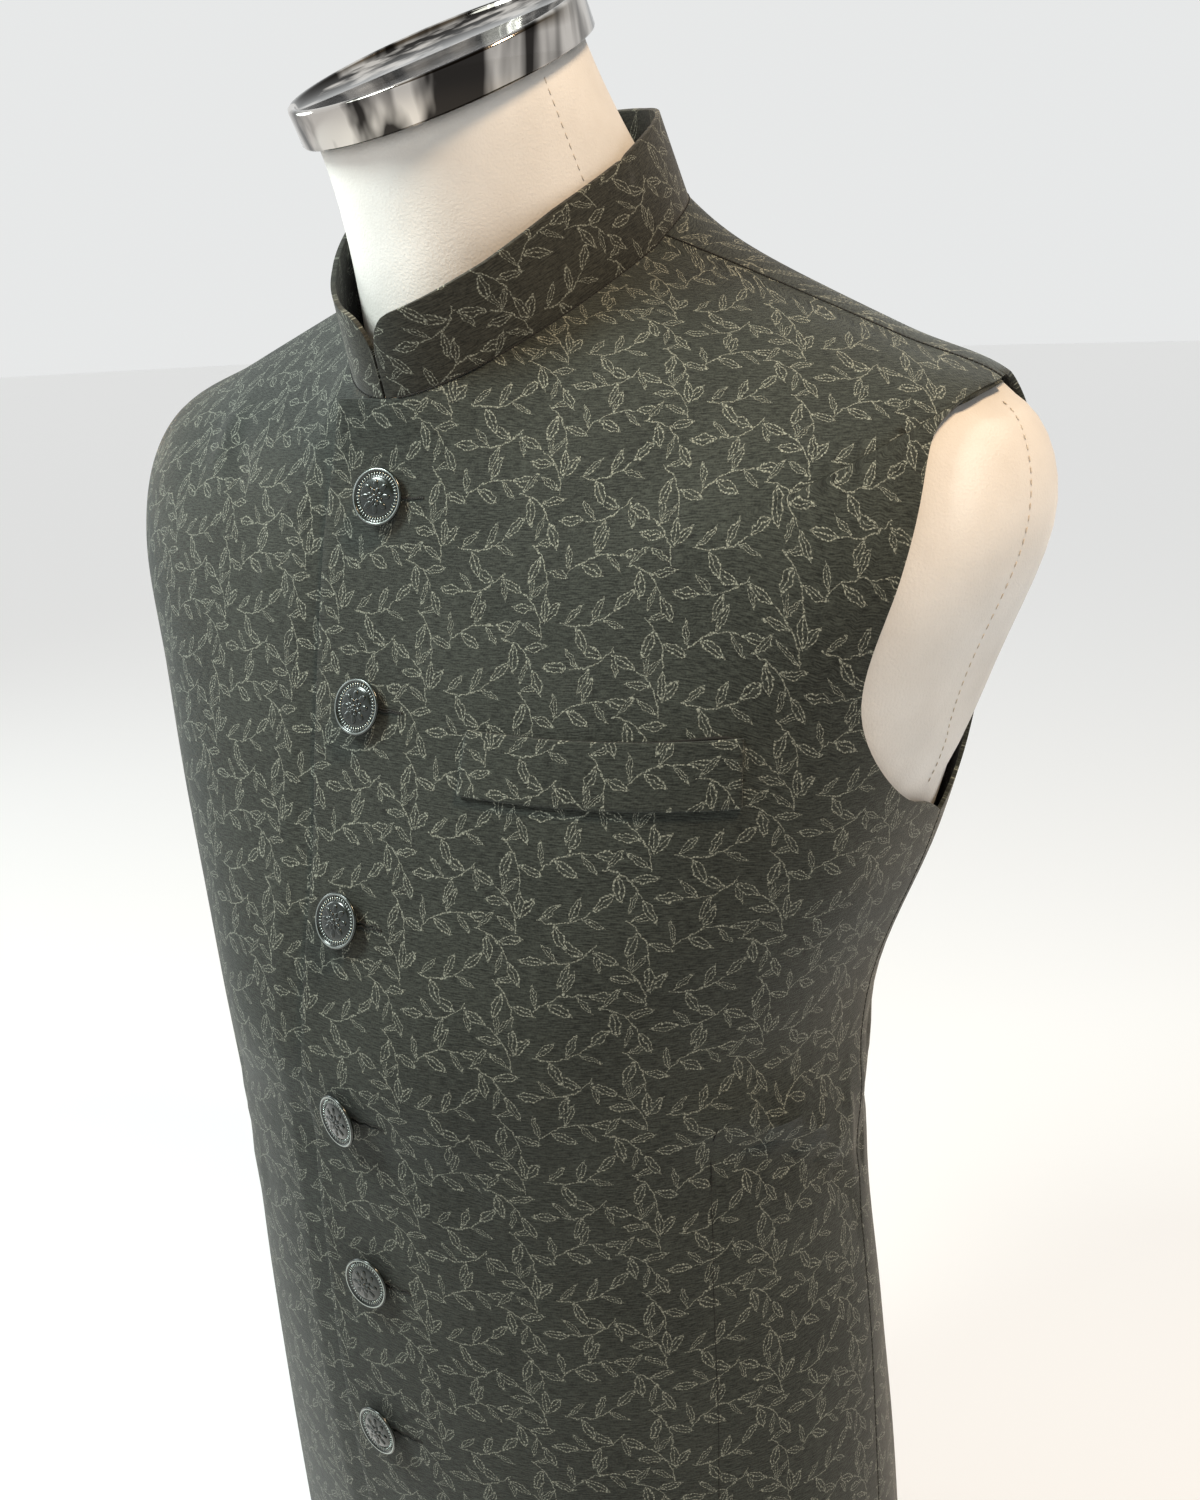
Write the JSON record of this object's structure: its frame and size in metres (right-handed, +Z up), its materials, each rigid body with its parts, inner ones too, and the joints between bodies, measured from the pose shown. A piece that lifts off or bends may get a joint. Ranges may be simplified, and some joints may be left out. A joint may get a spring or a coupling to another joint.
{
  "type": "nehru jacket on a limbless dress form",
  "caption": "Sleeveless stand-collar jacket in leaf-vine jacquard, lapped and buttoned down the front, on a limbless dress form with a leaning neck and metal cap.",
  "frame": {"origin": "middle of the flat foot that the dress form stands on", "axes": "+Z up, the jacket's front faces -Y, the wearer's left is +X"},
  "size_m": [0.495, 0.309, 0.8661],
  "materials": {
    "jacquard": "matt suiting with a raised leaf-vine figure",
    "button_metal": "glossy dark enamel on cast metal",
    "form_cloth": "smooth off-white cover cloth",
    "cap_chrome": "polished"
  },
  "bodies": {
    "root": {"front_left": "jacquard", "front_right": "jacquard", "back": "jacquard", "collar": "jacquard", "pocket_welt": "jacquard", "button_1": "button_metal", "button_2": "button_metal", "button_3": "button_metal", "button_4": "button_metal", "button_5": "button_metal", "button_6": "button_metal", "form_torso": "form_cloth", "neck_cap": "cap_chrome"}
  },
  "joints": []
}
